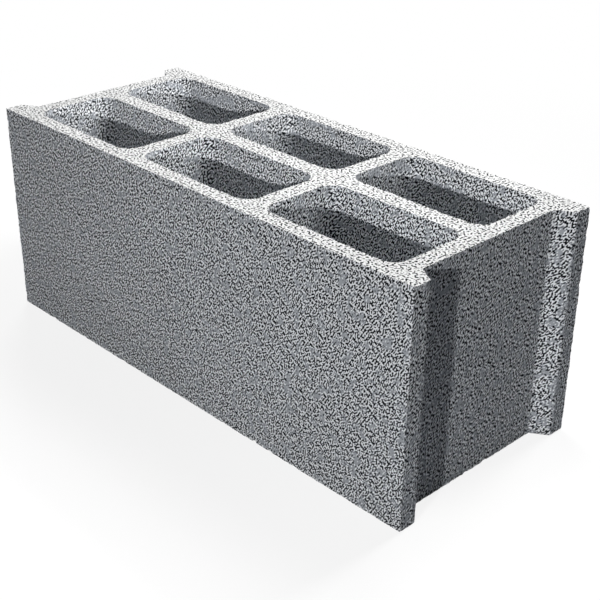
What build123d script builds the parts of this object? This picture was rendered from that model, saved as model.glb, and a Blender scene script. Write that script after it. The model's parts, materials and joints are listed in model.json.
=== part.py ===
"""Hollow concrete masonry block with six drafted cells and a bevelled mortar groove at each end.

The block is one casting. It stands as it leaves the mould, with the wide mouths of its cells up.
X runs along the length, Y across the wall and Z up. The origin is the centre of the bottom bed.
All lengths are in millimetres.
"""

import os

from build123d import *

# Overall size
length = 500.0  # over the tips of the ears
width = 200.0  # thickness of the wall that the block makes
height = 200.0  # from bed to bed

# Ears and the mortar groove between them, at each end
groove_depth = 15.0
ear_tip = 16.0  # thickness of an ear at its end
ear_root = 26.0  # thickness of an ear at the floor of the groove

# Walls, measured at the top bed where they are thinnest
face_shell = 15.0  # each long outer wall
end_web = 16.0  # each short outer wall, from the floor of the groove
cross_web = 17.0  # each short wall between cells
middle_web = 18.0  # the long wall between the two rows of cells

# Cells
cells_along = 3
cells_across = 2
cell_corner_radius = 14.0  # at the top bed
cell_draft = 1.0  # degrees that every cell wall leans in on its way down

# Worn foot of each ear, which takes the knocks when the block is set down
ear_foot_radius = 1.5

cut_overrun = 1.0  # how far a cut runs past the face that it opens

# Cell mouths and their spacing follow from the walls
cell_length = (length - 2 * (groove_depth + end_web) - (cells_along - 1) * cross_web) / cells_along
cell_width = (width - 2 * face_shell - (cells_across - 1) * middle_web) / cells_across
cell_pitch_along = cell_length + cross_web
cell_pitch_across = cell_width + middle_web


with BuildPart() as block:
    # Plan of the block: a quarter of the outline with its ear, mirrored both ways
    with BuildSketch():
        with BuildLine():
            Polyline(
                (0, width / 2),
                (length / 2, width / 2),
                (length / 2, width / 2 - ear_tip),
                (length / 2 - groove_depth, width / 2 - ear_root),
                (length / 2 - groove_depth, 0),
            )
            mirror(about=Plane.XZ)
            mirror(about=Plane.YZ)
        make_face()
    extrude(amount=height)

    # Worn feet: the lower edges of every ear's tip and bevel, but not of the long faces or the grooves
    bottom_bed = block.faces().sort_by(Axis.Z).first
    crosswise_edges = bottom_bed.outer_wire().edges().filter_by(Axis.X, reverse=True)
    ear_edges = crosswise_edges.filter_by(
        lambda edge: max(abs(vertex.X) for vertex in edge.vertices()) > length / 2 - groove_depth / 2
    )
    fillet(ear_edges, radius=ear_foot_radius)

    # Cells: round-cornered mouths in the top bed, drafted down through the bottom bed
    with BuildSketch(Plane.XY.offset(height)):
        with GridLocations(cell_pitch_along, cell_pitch_across, cells_along, cells_across):
            RectangleRounded(cell_length, cell_width, cell_corner_radius)
    extrude(amount=-(height + cut_overrun), taper=cell_draft, mode=Mode.SUBTRACT)

block.part.label = "concrete_block"

os.makedirs("parts", exist_ok=True)
export_step(block.part, "parts/concrete_block.step")
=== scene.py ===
"""Hollow concrete block: cast surface, pressed-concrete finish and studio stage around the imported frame."""

import json
import math

import bmesh
import bpy
from bpy.props import FloatProperty, FloatVectorProperty, IntProperty, PointerProperty
from mathutils import Matrix, Vector, kdtree, noise


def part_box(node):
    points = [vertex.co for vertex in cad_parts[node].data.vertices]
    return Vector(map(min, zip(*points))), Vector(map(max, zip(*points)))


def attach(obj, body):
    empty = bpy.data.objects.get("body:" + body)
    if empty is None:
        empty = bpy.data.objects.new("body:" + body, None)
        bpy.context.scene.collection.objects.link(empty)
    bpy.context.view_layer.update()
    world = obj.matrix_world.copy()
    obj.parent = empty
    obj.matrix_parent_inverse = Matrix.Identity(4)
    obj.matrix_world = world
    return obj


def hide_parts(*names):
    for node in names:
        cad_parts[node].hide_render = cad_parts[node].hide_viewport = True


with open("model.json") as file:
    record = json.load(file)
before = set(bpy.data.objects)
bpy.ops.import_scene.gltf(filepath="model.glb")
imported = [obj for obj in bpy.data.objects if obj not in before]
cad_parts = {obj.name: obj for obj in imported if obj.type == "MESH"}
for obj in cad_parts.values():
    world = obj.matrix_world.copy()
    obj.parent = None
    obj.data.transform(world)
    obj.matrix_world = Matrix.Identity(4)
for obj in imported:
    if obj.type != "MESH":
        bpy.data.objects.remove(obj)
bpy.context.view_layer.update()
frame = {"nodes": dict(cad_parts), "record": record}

bl_info = {
    "name": "Concrete block",
    "version": (1, 0, 0),
    "blender": (4, 5, 0),
    "location": "3D View > Sidebar > Concrete block",
    "description": "Dresses the packed concrete block with a cast surface, its finish and a stage",
    "category": "Object",
}

MM = 0.001
NODE = "concrete_block"
BODY = "root"

# Cast surface
LEVEL_NORMAL = 0.7  # a face is level where its normal rises or falls by more than this, else upright
WELD = 0.01 * MM  # points nearer than this are one corner
ARRIS_ANGLE = math.radians(30)  # least turn between the faces of an edge that wears
SMOOTH_ANGLE = math.radians(55)  # least turn between faces that stay sharp to the eye
CELL_MARGIN = 8.5 * MM  # from a cell's stated box to past its own walls, short of the outer faces
GRID_DEPTH = 9  # halvings of the box that holds the fine grid
GRAIN_LEVEL = 0.5  # noise from which a coarse grain reaches the face of the mould
PIT_SCATTER = 37  # spreads the centres of the pits far enough apart to give each its own size
SMALLEST_PIT = 0.05  # size of the smallest pits, as a share of the largest
PIT_FLOOR = 0.3  # share of a pit's radius that its flat floor takes
CHIP_NOISE = (0.25, 0.7)  # noise at which an edge starts to chip and is chipped most

# Finish
NOISE_MIDDLE = 0.5  # middle of the range of a noise texture
RUBBED_NOISE = (0.35, 0.62)  # noise at which a patch is rubbed most and stays open
PATCH_DETAIL = 1.0  # finer layers of noise in the rubbed patches
TOP_LIGHT_NORMAL = (0.5, 0.95)  # rise of the normal at which the cement skin starts and is whole
CLOUD_NOISE = (0.3, 0.7)  # rise of the normal at which the painted overhead light starts and is whole
CLOUD_TONE = (0.96, 1.04)  # darkest and palest tone
CLOUD_DETAIL = 3.0  # finer layers of noise in the clouds
MATT = (0.85, 0.97)  # roughness of rubbed and of open patches
GLOSS = 0.1  # level of the mirror light that dusty concrete keeps

# Stage
SENSOR = 36  # width of the camera's sensor in mm
FLOOR_REACH = 6.0  # half of the floor's side in metres
WHITE = (1, 1, 1, 1)

# Sockets of a Mix node, whose names repeat for numbers, vectors and colours
MIX = 0
NUMBER_A, NUMBER_B, MIXED_NUMBER = 2, 3, 0
VECTOR_A, VECTOR_B, MIXED_VECTOR = 4, 5, 1
COLOUR_A, COLOUR_B, MIXED_COLOUR = 6, 7, 2


def linear(hex_colour):
    """Turn an sRGB hex colour such as #8a8c90 into linear red, green and blue."""
    parts = [int(hex_colour[i:i + 2], 16) / 255 for i in (1, 3, 5)]
    return tuple(c / 12.92 if c <= 0.04045 else ((c + 0.055) / 1.055) ** 2.4 for c in parts)


def length_prop(name, description, millimetres):
    """A length that a user can change, given in millimetres."""
    return FloatProperty(
        name=name, description=description, default=millimetres * MM, unit="LENGTH", precision=4
    )


def place_prop(name, description, millimetres):
    """A place in the frame that a user can change, given in millimetres."""
    metres = [value * MM for value in millimetres]
    return FloatVectorProperty(
        name=name, description=description, default=metres, subtype="XYZ", unit="LENGTH"
    )


def power_prop(name, description, watts):
    """A lamp's power that a user can change, given in watts."""
    return FloatProperty(name=name, description=description, default=watts, unit="POWER")


def angle_prop(name, description, degrees):
    """An angle that a user can change, given in degrees."""
    return FloatProperty(
        name=name, description=description, default=math.radians(degrees), subtype="ANGLE"
    )


def share_prop(name, description, share):
    """A share from 0 to 1 that a user can change."""
    return FloatProperty(name=name, description=description, default=share, min=0, max=1, subtype="FACTOR")


def colour_prop(name, description, hex_colour):
    """A colour that a user can change, given as sRGB hex."""
    return FloatVectorProperty(
        name=name, description=description, default=linear(hex_colour), subtype="COLOR", min=0, max=1
    )


class CastSurfaceSettings(bpy.types.PropertyGroup):
    """Sizes of the relief that the mould and the dry mix leave on the block."""

    grid: length_prop("Grid", "Spacing of the fine grid that takes the relief", 1.4)
    grain: length_prop("Grain", "Spacing of the coarse grains that stand out of the faces", 4.2)
    grain_height: length_prop("Grain height", "Height of the coarse grains", 0.45)
    pit_spacing: length_prop("Pit spacing", "Spacing of the holes that trapped air leaves", 11.0)
    pit_radius: length_prop("Pit radius", "Radius of the largest holes", 2.6)
    pit_depth: length_prop("Pit depth", "Depth of the largest holes", 1.3)
    wear: length_prop("Arris wear", "How far every outer edge is worn back", 0.15)
    chip: length_prop("Arris chips", "Depth of the chips along the outer edges", 0.7)
    chip_length: length_prop("Chip length", "Spacing of the chips along an edge", 7.0)
    wear_reach: length_prop("Wear reach", "How far from an edge its wear is felt", 2.2)
    fade_depth: length_prop("Fade depth", "Depth in a cell where its relief has become faint", 110.0)
    deep_relief: share_prop("Deep relief", "Share of the relief that is left at that depth", 0.2)
    triangles: IntProperty(
        name="Triangles", description="Most triangles that the cast surface keeps", default=190000
    )


class ConcreteSettings(bpy.types.PropertyGroup):
    """Colours and grain of the pressed concrete."""

    paste: colour_prop("Paste", "Cement paste between the grains", "#a8acb2")
    sand: colour_prop("Sand", "Pale sand on the crowns of the lumps", "#f8fafd")
    # Painted shade: near-black colour that the valleys of the relief take, for the dark inside the holes
    # between the lumps
    shaded_pore: colour_prop("Pore", "Open pores between the lumps", "#06080d")
    # Painted overhead light: the next three settings paint the top bed paler and thin out its painted shade,
    # as light from above falls on it
    skin: colour_prop("Skin", "Pale cement skin that the press leaves on the top bed", "#e7e7e6")
    top_light_share: share_prop("Skin share", "How much of the top bed the cement skin covers", 0.85)
    top_light_fill: share_prop("Skin fill", "How much of the relief the skin fills where it covers all", 0.042)
    lump: length_prop("Lump", "Spacing of the lumps and the pores between them", 1.2)
    top_lump: length_prop("Top lump", "Spacing of the lumps on the beds, which no mould wall drags", 1.8)
    drag: FloatProperty(
        name="Drag",
        description="How many times longer the lumps are on the faces that slid along the mould",
        default=1.8,
    )
    drag_lean: angle_prop("Drag lean", "Lean of the dragged lumps from upright", 31)
    patch: length_prop("Patch", "Spacing of the patches that the mould rubbed smoother", 9.0)
    cloud: length_prop("Cloud", "Spacing of the slow changes of tone", 80.0)
    relief: length_prop("Relief", "Height of the lumps", 0.5)
    rubbed: share_prop(
        "Rubbed lumps", "Height of the lumps that the mould rubbed most, as a share of the relief", 0.3
    )
    rough: FloatProperty(
        name="Rough lumps",
        description="Height of the lumps that stayed open, as a share of the relief",
        default=2.5,
    )
    crown: share_prop("Crown", "How high above the middle of the relief the pale sand shows", 0.06)
    # Painted shade: depth under the middle of the relief at which the near-black painted shade starts
    shade_valley: share_prop("Valley", "How low under the middle of the relief a pore opens", 0.06)
    edge: share_prop(
        "Grain edge", "How much of the relief a grain's colour takes to give way to the next", 0.015
    )


class StageSettings(bpy.types.PropertyGroup):
    """Camera, lamps and floor."""

    camera: place_prop("Camera", "Place of the camera", (689.2, -627.0, 541.7))
    aim: place_prop("Aim", "Point that the camera looks at", (58.95, -19.14, 90.0))
    roll: angle_prop("Roll", "Turn of the camera about its view", 0.564)
    lens: FloatProperty(
        name="Lens", description="Focal length on a sensor 36 mm wide", default=70.53, unit="CAMERA"
    )
    key: place_prop("Key lamp", "Place of the low lamp at the front right", (428.0, -690.0, 369.0))
    key_aim: place_prop("Key lamp aim", "Point that the key lamp is turned to", (250.0, 80.0, 100.0))
    key_size: length_prop("Key lamp size", "Width of the key lamp", 15.0)
    key_power: power_prop("Key lamp power", "Power of the key lamp, as it acts a metre away", 5.8)
    over: place_prop("Over lamp", "Place of the lamp close over the block", (140.0, 100.0, 550.0))
    over_size: length_prop("Over lamp size", "Width of the over lamp", 150.0)
    over_power: power_prop("Over lamp power", "Power of the over lamp, as it acts a metre away", 6.8)
    back: place_prop("Back lamp", "Place of the high lamp behind the block", (240.0, 550.0, 900.0))
    back_size: length_prop("Back lamp size", "Width of the back lamp", 150.0)
    back_power: power_prop("Back lamp power", "Power of the back lamp, as it acts a metre away", 4.9)
    fill: place_prop("Fill lamp", "Place of the lamp behind the far left end", (-800.0, 400.0, 700.0))
    fill_size: length_prop("Fill lamp size", "Width of the fill lamp", 300.0)
    fill_power: power_prop("Fill lamp power", "Power of the fill lamp", 4.5)
    room: share_prop("Room light", "Level of the light that the white room gives from all sides", 0.04)
    floor: colour_prop("Floor", "Colour of the floor as the block's faces see it", "#7b7d82")
    floor_glow: share_prop("Floor glow", "Share of the seen floor's white that no shadow darkens", 0.8)
    floor_fade: length_prop(
        "Floor fade", "How far from the block's middle the shadow has faded from the floor", 1000.0
    )


class BlockSettings(bpy.types.PropertyGroup):
    """All settings of the dressed block."""

    cast: PointerProperty(type=CastSurfaceSettings)
    concrete: PointerProperty(type=ConcreteSettings)
    stage: PointerProperty(type=StageSettings)


def smoothstep(low, high, value):
    """Rise smoothly from 0 at low to 1 at high."""
    t = min(max((value - low) / (high - low), 0.0), 1.0)
    return t * t * (3 - 2 * t)


def evaluated_mesh(obj):
    """The object's mesh with its modifiers applied."""
    return bpy.data.meshes.new_from_object(obj.evaluated_get(bpy.context.evaluated_depsgraph_get()))


def outer_arrises(cad, step):
    """Search tree of points, about a step apart, along the convex edges of the CAD node."""
    solid = bmesh.new()
    solid.from_mesh(cad.data)
    bmesh.ops.remove_doubles(solid, verts=solid.verts, dist=WELD)
    points = []
    for edge in solid.edges:
        if len(edge.link_faces) == 2 and edge.is_convex and edge.calc_face_angle() > ARRIS_ANGLE:
            start, end = (vert.co.copy() for vert in edge.verts)
            count = max(1, round(edge.calc_length() / step))
            points += [start.lerp(end, (i + 0.5) / count) for i in range(count)]
    solid.free()
    tree = kdtree.KDTree(len(points))
    for i, point in enumerate(points):
        tree.insert(point, i)
    tree.balance()
    return tree


def cell_boxes():
    """Lowest and highest corners of the cells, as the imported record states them."""
    openings = frame["record"]["physics"]["openings"]
    return [[Vector(corner) for corner in o["box_m"]] for o in openings if o["name"].startswith("cell")]


def press_relief(mesh, cad, settings):
    """Push the grid's points in by the grains, pits and worn edges of pressed concrete."""
    arrises = outer_arrises(cad, settings.grid)
    cells = cell_boxes()
    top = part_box(NODE)[1][2]
    normals = [vertex.normal.copy() for vertex in mesh.vertices]
    for vertex, normal in zip(mesh.vertices, normals):
        point = vertex.co
        depth = settings.grain_height * (GRAIN_LEVEL - noise.noise(point / settings.grain))
        near, centres = noise.voronoi(point / settings.pit_spacing)
        size = max(noise.cell(centres[0] * PIT_SCATTER) ** 2, SMALLEST_PIT)
        reach = near[0] * settings.pit_spacing / (settings.pit_radius * size)
        depth += settings.pit_depth * size * (1 - smoothstep(PIT_FLOOR, 1.0, reach))
        in_cell = abs(normal.z) < LEVEL_NORMAL and any(
            low.x - CELL_MARGIN < point.x < high.x + CELL_MARGIN
            and low.y - CELL_MARGIN < point.y < high.y + CELL_MARGIN
            for low, high in cells
        )
        if in_cell:
            depth *= 1 - (1 - settings.deep_relief) * smoothstep(0, settings.fade_depth, top - point.z)
        to_edge = arrises.find(point)[2]
        if to_edge < settings.wear_reach:
            chipped = smoothstep(*CHIP_NOISE, noise.noise(point / settings.chip_length))
            depth += (settings.wear + settings.chip * chipped) * (1 - to_edge / settings.wear_reach)
        vertex.co = point - normal * max(depth, 0.0)


def add_node(tree, kind, inputs=None, **settings):
    """Add one shader node, set its settings, and set or link its inputs."""
    node = tree.nodes.new(kind)
    for name, value in settings.items():
        setattr(node, name, value)
    for name, value in (inputs or {}).items():
        if isinstance(value, bpy.types.NodeSocket):
            tree.links.new(value, node.inputs[name])
        else:
            node.inputs[name].default_value = value
    return node


def pressed_concrete(settings):
    """Pressed concrete: a dry mix of cement, sand and crushed stone, shaken and pressed in a steel mould.

    The eye sees matt grey paste in lumps a millimetre or two across, with pale sand on their crowns. The
    valleys between the lumps get painted shade, a near-black colour for the dark inside the holes. Mould
    walls draw the lumps out and rub them in patches. Faces that look up get painted overhead light: the top
    bed is painted paler, with less painted shade. The finest grains are too small to show, and are drawn as
    coarse as the lumps.
    """
    material = bpy.data.materials.new("pressed_concrete")
    material.use_nodes = True
    tree = material.node_tree
    tree.nodes.clear()
    coords = add_node(tree, "ShaderNodeTexCoord")
    place = coords.outputs["Object"]

    # Every face takes its grain in its own plane, so that its lumps are whole and not cut by the face.
    # Upright faces have their lumps drawn out, because the mould was pulled up along them.
    at = add_node(tree, "ShaderNodeSeparateXYZ", {"Vector": place})
    normal = add_node(tree, "ShaderNodeSeparateXYZ", {"Vector": coords.outputs["Normal"]})
    sizes = add_node(tree, "ShaderNodeVectorMath", {0: coords.outputs["Normal"]}, operation="ABSOLUTE")
    lean = add_node(tree, "ShaderNodeSeparateXYZ", {"Vector": sizes.outputs["Vector"]})
    endwise = add_node(
        tree, "ShaderNodeMath", {0: lean.outputs["X"], 1: lean.outputs["Y"]}, operation="GREATER_THAN"
    )
    level = add_node(
        tree, "ShaderNodeMath", {0: lean.outputs["Z"], 1: LEVEL_NORMAL}, operation="GREATER_THAN"
    )
    along = add_node(
        tree, "ShaderNodeMix",
        {MIX: endwise.outputs["Value"], NUMBER_A: at.outputs["X"], NUMBER_B: at.outputs["Y"]},
    )
    upright = add_node(
        tree, "ShaderNodeCombineXYZ", {"X": along.outputs[MIXED_NUMBER], "Y": at.outputs["Z"]}
    )
    leaning = add_node(
        tree, "ShaderNodeVectorRotate", {"Vector": upright.outputs["Vector"], "Angle": settings.drag_lean},
        rotation_type="Z_AXIS",
    )
    dragged = add_node(
        tree, "ShaderNodeVectorMath", {0: leaning.outputs["Vector"], 1: (1, 1 / settings.drag, 1)},
        operation="MULTIPLY",
    )
    bed = add_node(
        tree, "ShaderNodeVectorMath", {0: place, "Scale": settings.lump / settings.top_lump},
        operation="SCALE",
    )
    plane = add_node(
        tree, "ShaderNodeMix",
        {MIX: level.outputs["Value"], VECTOR_A: dragged.outputs["Vector"], VECTOR_B: bed.outputs["Vector"]},
        data_type="VECTOR",
    )

    # Lumps of paste with pores between them, flatter in the patches that the mould rubbed
    lumps = add_node(
        tree, "ShaderNodeTexNoise",
        {"Vector": plane.outputs[MIXED_VECTOR], "Scale": 1 / settings.lump, "Detail": 0.0},
        noise_dimensions="2D",
    )
    patches = add_node(
        tree, "ShaderNodeTexNoise", {"Vector": place, "Scale": 1 / settings.patch, "Detail": PATCH_DETAIL}
    )
    rubbing = add_node(
        tree, "ShaderNodeMapRange",
        {
            "Value": patches.outputs["Fac"], "From Min": RUBBED_NOISE[0], "From Max": RUBBED_NOISE[1],
            "To Min": settings.rubbed, "To Max": settings.rough,
        },
        interpolation_type="SMOOTHSTEP",
    )
    openness = add_node(
        tree, "ShaderNodeMix",
        {MIX: level.outputs["Value"], NUMBER_A: rubbing.outputs["Result"], NUMBER_B: 1.0},
    )
    middle = add_node(
        tree, "ShaderNodeMath", {0: lumps.outputs["Fac"], 1: NOISE_MIDDLE}, operation="SUBTRACT"
    )
    height = add_node(
        tree, "ShaderNodeMath", {0: middle.outputs["Value"], 1: openness.outputs[MIXED_NUMBER]},
        operation="MULTIPLY",
    )

    # Grey paste with pale sand on the crowns
    crowns = add_node(
        tree, "ShaderNodeMapRange",
        {
            "Value": height.outputs["Value"],
            "From Min": settings.crown, "From Max": settings.crown + settings.edge,
        },
    )
    sanded = add_node(
        tree, "ShaderNodeMix",
        {MIX: crowns.outputs["Result"], COLOUR_A: (*settings.paste, 1), COLOUR_B: (*settings.sand, 1)},
        data_type="RGBA",
    )

    # Painted overhead light: faces that look up are painted paler, as the light from above falls on them
    top_light_mask = add_node(
        tree, "ShaderNodeMapRange",
        {
            "Value": normal.outputs["Z"], "From Min": TOP_LIGHT_NORMAL[0], "From Max": TOP_LIGHT_NORMAL[1],
            "To Max": settings.top_light_share,
        },
        interpolation_type="SMOOTHSTEP",
    )
    top_lit = add_node(
        tree, "ShaderNodeMix",
        {
            MIX: top_light_mask.outputs["Result"],
            COLOUR_A: sanded.outputs[MIXED_COLOUR], COLOUR_B: (*settings.skin, 1),
        },
        data_type="RGBA",
    )

    # Painted shade: near-black colour in the valleys of the relief, for the dark inside the holes between the
    # lumps; the painted overhead light thins it on the top bed
    top_lit_height = add_node(
        tree, "ShaderNodeMath",
        {0: top_light_mask.outputs["Result"], 1: settings.top_light_fill, 2: height.outputs["Value"]},
        operation="MULTIPLY_ADD",
    )
    shaded_pores = add_node(
        tree, "ShaderNodeMapRange",
        {
            "Value": top_lit_height.outputs["Value"],
            "From Min": -settings.shade_valley, "From Max": -settings.shade_valley - settings.edge,
        },
    )
    grain_and_shade = add_node(
        tree, "ShaderNodeMix",
        {
            MIX: shaded_pores.outputs["Result"],
            COLOUR_A: top_lit.outputs[MIXED_COLOUR], COLOUR_B: (*settings.shaded_pore, 1),
        },
        data_type="RGBA",
    )

    # Slow clouds of tone all over
    clouds = add_node(
        tree, "ShaderNodeTexNoise", {"Vector": place, "Scale": 1 / settings.cloud, "Detail": CLOUD_DETAIL}
    )
    tone = add_node(
        tree, "ShaderNodeMapRange",
        {
            "Value": clouds.outputs["Fac"], "From Min": CLOUD_NOISE[0], "From Max": CLOUD_NOISE[1],
            "To Min": CLOUD_TONE[0], "To Max": CLOUD_TONE[1],
        },
    )
    colour = add_node(
        tree, "ShaderNodeVectorMath",
        {0: grain_and_shade.outputs[MIXED_COLOUR], "Scale": tone.outputs["Result"]}, operation="SCALE",
    )

    # Matt all over, a little smoother where the mould rubbed
    matt = add_node(
        tree, "ShaderNodeMapRange",
        {
            "Value": patches.outputs["Fac"], "From Min": RUBBED_NOISE[0], "From Max": RUBBED_NOISE[1],
            "To Min": MATT[0], "To Max": MATT[1],
        },
    )
    bump = add_node(
        tree, "ShaderNodeBump",
        {"Height": height.outputs["Value"], "Distance": settings.relief, "Strength": 1.0},
    )
    shader = add_node(
        tree, "ShaderNodeBsdfPrincipled",
        {
            "Base Color": colour.outputs["Vector"], "Roughness": matt.outputs["Result"],
            "Specular IOR Level": GLOSS, "Normal": bump.outputs["Normal"],
        },
    )
    add_node(tree, "ShaderNodeOutputMaterial", {"Surface": shader.outputs["BSDF"]})
    return material


class OBJECT_OT_cast_concrete_block(bpy.types.Operator):
    """Cast the block's surface over its CAD solid and give it the pressed-concrete finish"""

    bl_idname = "object.cast_concrete_block"
    bl_label = "Cast concrete block"

    def execute(self, context):
        settings = context.scene.concrete_block
        cad = frame["nodes"].get(NODE)
        if cad is None:
            raise RuntimeError(f"The frame has no node {NODE}")
        block = bpy.data.objects.new("cast_block", cad.data.copy())
        context.scene.collection.objects.link(block)

        grid = block.modifiers.new("fine_grid", "REMESH")
        grid.mode = "SHARP"
        grid.octree_depth = GRID_DEPTH
        grid.scale = max(block.dimensions) / (settings.cast.grid * 2 ** grid.octree_depth)
        grid.use_remove_disconnected = False
        block.data = evaluated_mesh(block)
        block.modifiers.clear()

        if not block.data.polygons:
            raise RuntimeError("The fine grid came out empty")
        press_relief(block.data, cad, settings.cast)

        # The grid is all quads, so it has two triangles for each of its faces
        thin = block.modifiers.new("fewer_triangles", "DECIMATE")
        thin.ratio = settings.cast.triangles / (2 * len(block.data.polygons))
        block.data = evaluated_mesh(block)
        block.modifiers.clear()
        block.data.shade_smooth()
        block.data.set_sharp_from_angle(angle=SMOOTH_ANGLE)

        block.data.materials.clear()
        block.data.materials.append(pressed_concrete(settings.concrete))
        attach(block, BODY)
        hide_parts(NODE)
        return {"FINISHED"}


def add_lamp(scene, name, place, aim, size, power, falloff):
    """Add a square lamp at a place, turned to an aim, whose light falls off by the named rule."""
    data = bpy.data.lights.new(name, "AREA")
    data.size = size
    data.energy = power
    data.use_nodes = True
    tree = data.node_tree
    tree.nodes.clear()
    level = add_node(tree, "ShaderNodeLightFalloff", {"Strength": 1.0})
    glow = add_node(tree, "ShaderNodeEmission", {"Strength": level.outputs[falloff]})
    add_node(tree, "ShaderNodeOutputLight", {"Surface": glow.outputs["Emission"]})
    lamp = bpy.data.objects.new(name, data)
    lamp.location = place
    lamp.rotation_euler = (Vector(aim) - Vector(place)).to_track_quat("-Z", "Y").to_euler()
    lamp.visible_camera = False
    scene.collection.objects.link(lamp)


def seen_ray(tree):
    """Socket that is 1 for a ray that the eye sees by, also through gloss or glass, and 0 for light."""
    path = add_node(tree, "ShaderNodeLightPath")
    mirrored = add_node(
        tree, "ShaderNodeMath",
        {0: path.outputs["Is Glossy Ray"], 1: path.outputs["Is Transmission Ray"]}, operation="MAXIMUM",
    )
    seen = add_node(
        tree, "ShaderNodeMath",
        {0: path.outputs["Is Camera Ray"], 1: mirrored.outputs["Value"]}, operation="MAXIMUM",
    )
    return seen.outputs["Value"]


def white_floor(stage):
    """Matt floor paint: the eye sees white with the block's shadow, the block gets a grey floor's bounce."""
    material = bpy.data.materials.new("white_floor")
    material.use_nodes = True
    tree = material.node_tree
    tree.nodes.clear()
    seen = seen_ray(tree)
    colour = add_node(
        tree, "ShaderNodeMix", {MIX: seen, COLOUR_A: (*stage.floor, 1), COLOUR_B: WHITE}, data_type="RGBA"
    )
    paint = add_node(tree, "ShaderNodeBsdfDiffuse", {"Color": colour.outputs[MIXED_COLOUR]})
    glow = add_node(tree, "ShaderNodeEmission", {"Color": WHITE, "Strength": 1.0})
    coords = add_node(tree, "ShaderNodeTexCoord")
    away = add_node(tree, "ShaderNodeVectorMath", {0: coords.outputs["Object"]}, operation="LENGTH")
    white = add_node(
        tree, "ShaderNodeMapRange",
        {
            "Value": away.outputs["Value"], "From Max": stage.floor_fade,
            "To Min": stage.floor_glow, "To Max": 1.0,
        },
        interpolation_type="SMOOTHSTEP",
    )
    share = add_node(tree, "ShaderNodeMath", {0: seen, 1: white.outputs["Result"]}, operation="MULTIPLY")
    surface = add_node(
        tree, "ShaderNodeMixShader",
        {0: share.outputs["Value"], 1: paint.outputs["BSDF"], 2: glow.outputs["Emission"]},
    )
    add_node(tree, "ShaderNodeOutputMaterial", {"Surface": surface.outputs["Shader"]})
    return material


class SCENE_OT_set_block_stage(bpy.types.Operator):
    """Set the floor, the lamps, the background and the camera"""

    bl_idname = "scene.set_block_stage"
    bl_label = "Set stage"

    def execute(self, context):
        scene = context.scene
        stage = scene.concrete_block.stage
        if scene.camera:
            raise RuntimeError("The scene has a stage already")
        scene.view_settings.view_transform = "Standard"
        low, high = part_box(NODE)
        middle = (Vector(low) + Vector(high)) / 2

        mesh = bpy.data.meshes.new("floor")
        corners = [(x * FLOOR_REACH, y * FLOOR_REACH, 0) for x, y in ((-1, -1), (1, -1), (1, 1), (-1, 1))]
        mesh.from_pydata(corners, [], [(0, 1, 2, 3)])
        mesh.materials.append(white_floor(stage))
        floor = bpy.data.objects.new("floor", mesh)
        scene.collection.objects.link(floor)

        add_lamp(scene, "key_lamp", stage.key, stage.key_aim, stage.key_size, stage.key_power, "Constant")
        add_lamp(scene, "over_lamp", stage.over, middle, stage.over_size, stage.over_power, "Constant")
        add_lamp(scene, "back_lamp", stage.back, middle, stage.back_size, stage.back_power, "Constant")
        add_lamp(scene, "fill_lamp", stage.fill, middle, stage.fill_size, stage.fill_power, "Quadratic")

        world = bpy.data.worlds.new("white_room")
        world.use_nodes = True
        tree = world.node_tree
        tree.nodes.clear()
        level = add_node(tree, "ShaderNodeMix", {MIX: seen_ray(tree), NUMBER_A: stage.room, NUMBER_B: 1.0})
        sky = add_node(
            tree, "ShaderNodeBackground", {"Color": WHITE, "Strength": level.outputs[MIXED_NUMBER]}
        )
        add_node(tree, "ShaderNodeOutputWorld", {"Surface": sky.outputs["Background"]})
        scene.world = world

        data = bpy.data.cameras.new("camera")
        data.lens = stage.lens
        data.sensor_width = SENSOR
        camera = bpy.data.objects.new("camera", data)
        camera.location = stage.camera
        view = (Vector(stage.aim) - Vector(stage.camera)).to_track_quat("-Z", "Y").to_matrix().to_4x4()
        camera.rotation_euler = (view @ Matrix.Rotation(stage.roll, 4, "Z")).to_euler()
        scene.collection.objects.link(camera)
        scene.camera = camera
        return {"FINISHED"}


class VIEW3D_PT_concrete_block(bpy.types.Panel):
    """Sidebar panel with the block's settings and operators"""

    bl_label = "Concrete block"
    bl_space_type = "VIEW_3D"
    bl_region_type = "UI"
    bl_category = "Concrete block"

    def draw(self, context):
        settings = context.scene.concrete_block
        for group, operator in (
            (settings.cast, None),
            (settings.concrete, OBJECT_OT_cast_concrete_block.bl_idname),
            (settings.stage, SCENE_OT_set_block_stage.bl_idname),
        ):
            box = self.layout.box()
            for name in group.__annotations__:
                box.prop(group, name)
            if operator:
                box.operator(operator)


CLASSES = (
    CastSurfaceSettings,
    ConcreteSettings,
    StageSettings,
    BlockSettings,
    OBJECT_OT_cast_concrete_block,
    SCENE_OT_set_block_stage,
    VIEW3D_PT_concrete_block,
)


def register():
    """Register the classes and hang the settings on the scene."""
    for cls in CLASSES:
        bpy.utils.register_class(cls)
    bpy.types.Scene.concrete_block = PointerProperty(type=BlockSettings)


def unregister():
    """Take the settings and the classes away again."""
    del bpy.types.Scene.concrete_block
    for cls in reversed(CLASSES):
        bpy.utils.unregister_class(cls)


def main():
    """Dress the block and set its stage."""
    register()
    bpy.ops.object.cast_concrete_block()
    bpy.ops.scene.set_block_stage()


if __name__ == "__main__":
    main()
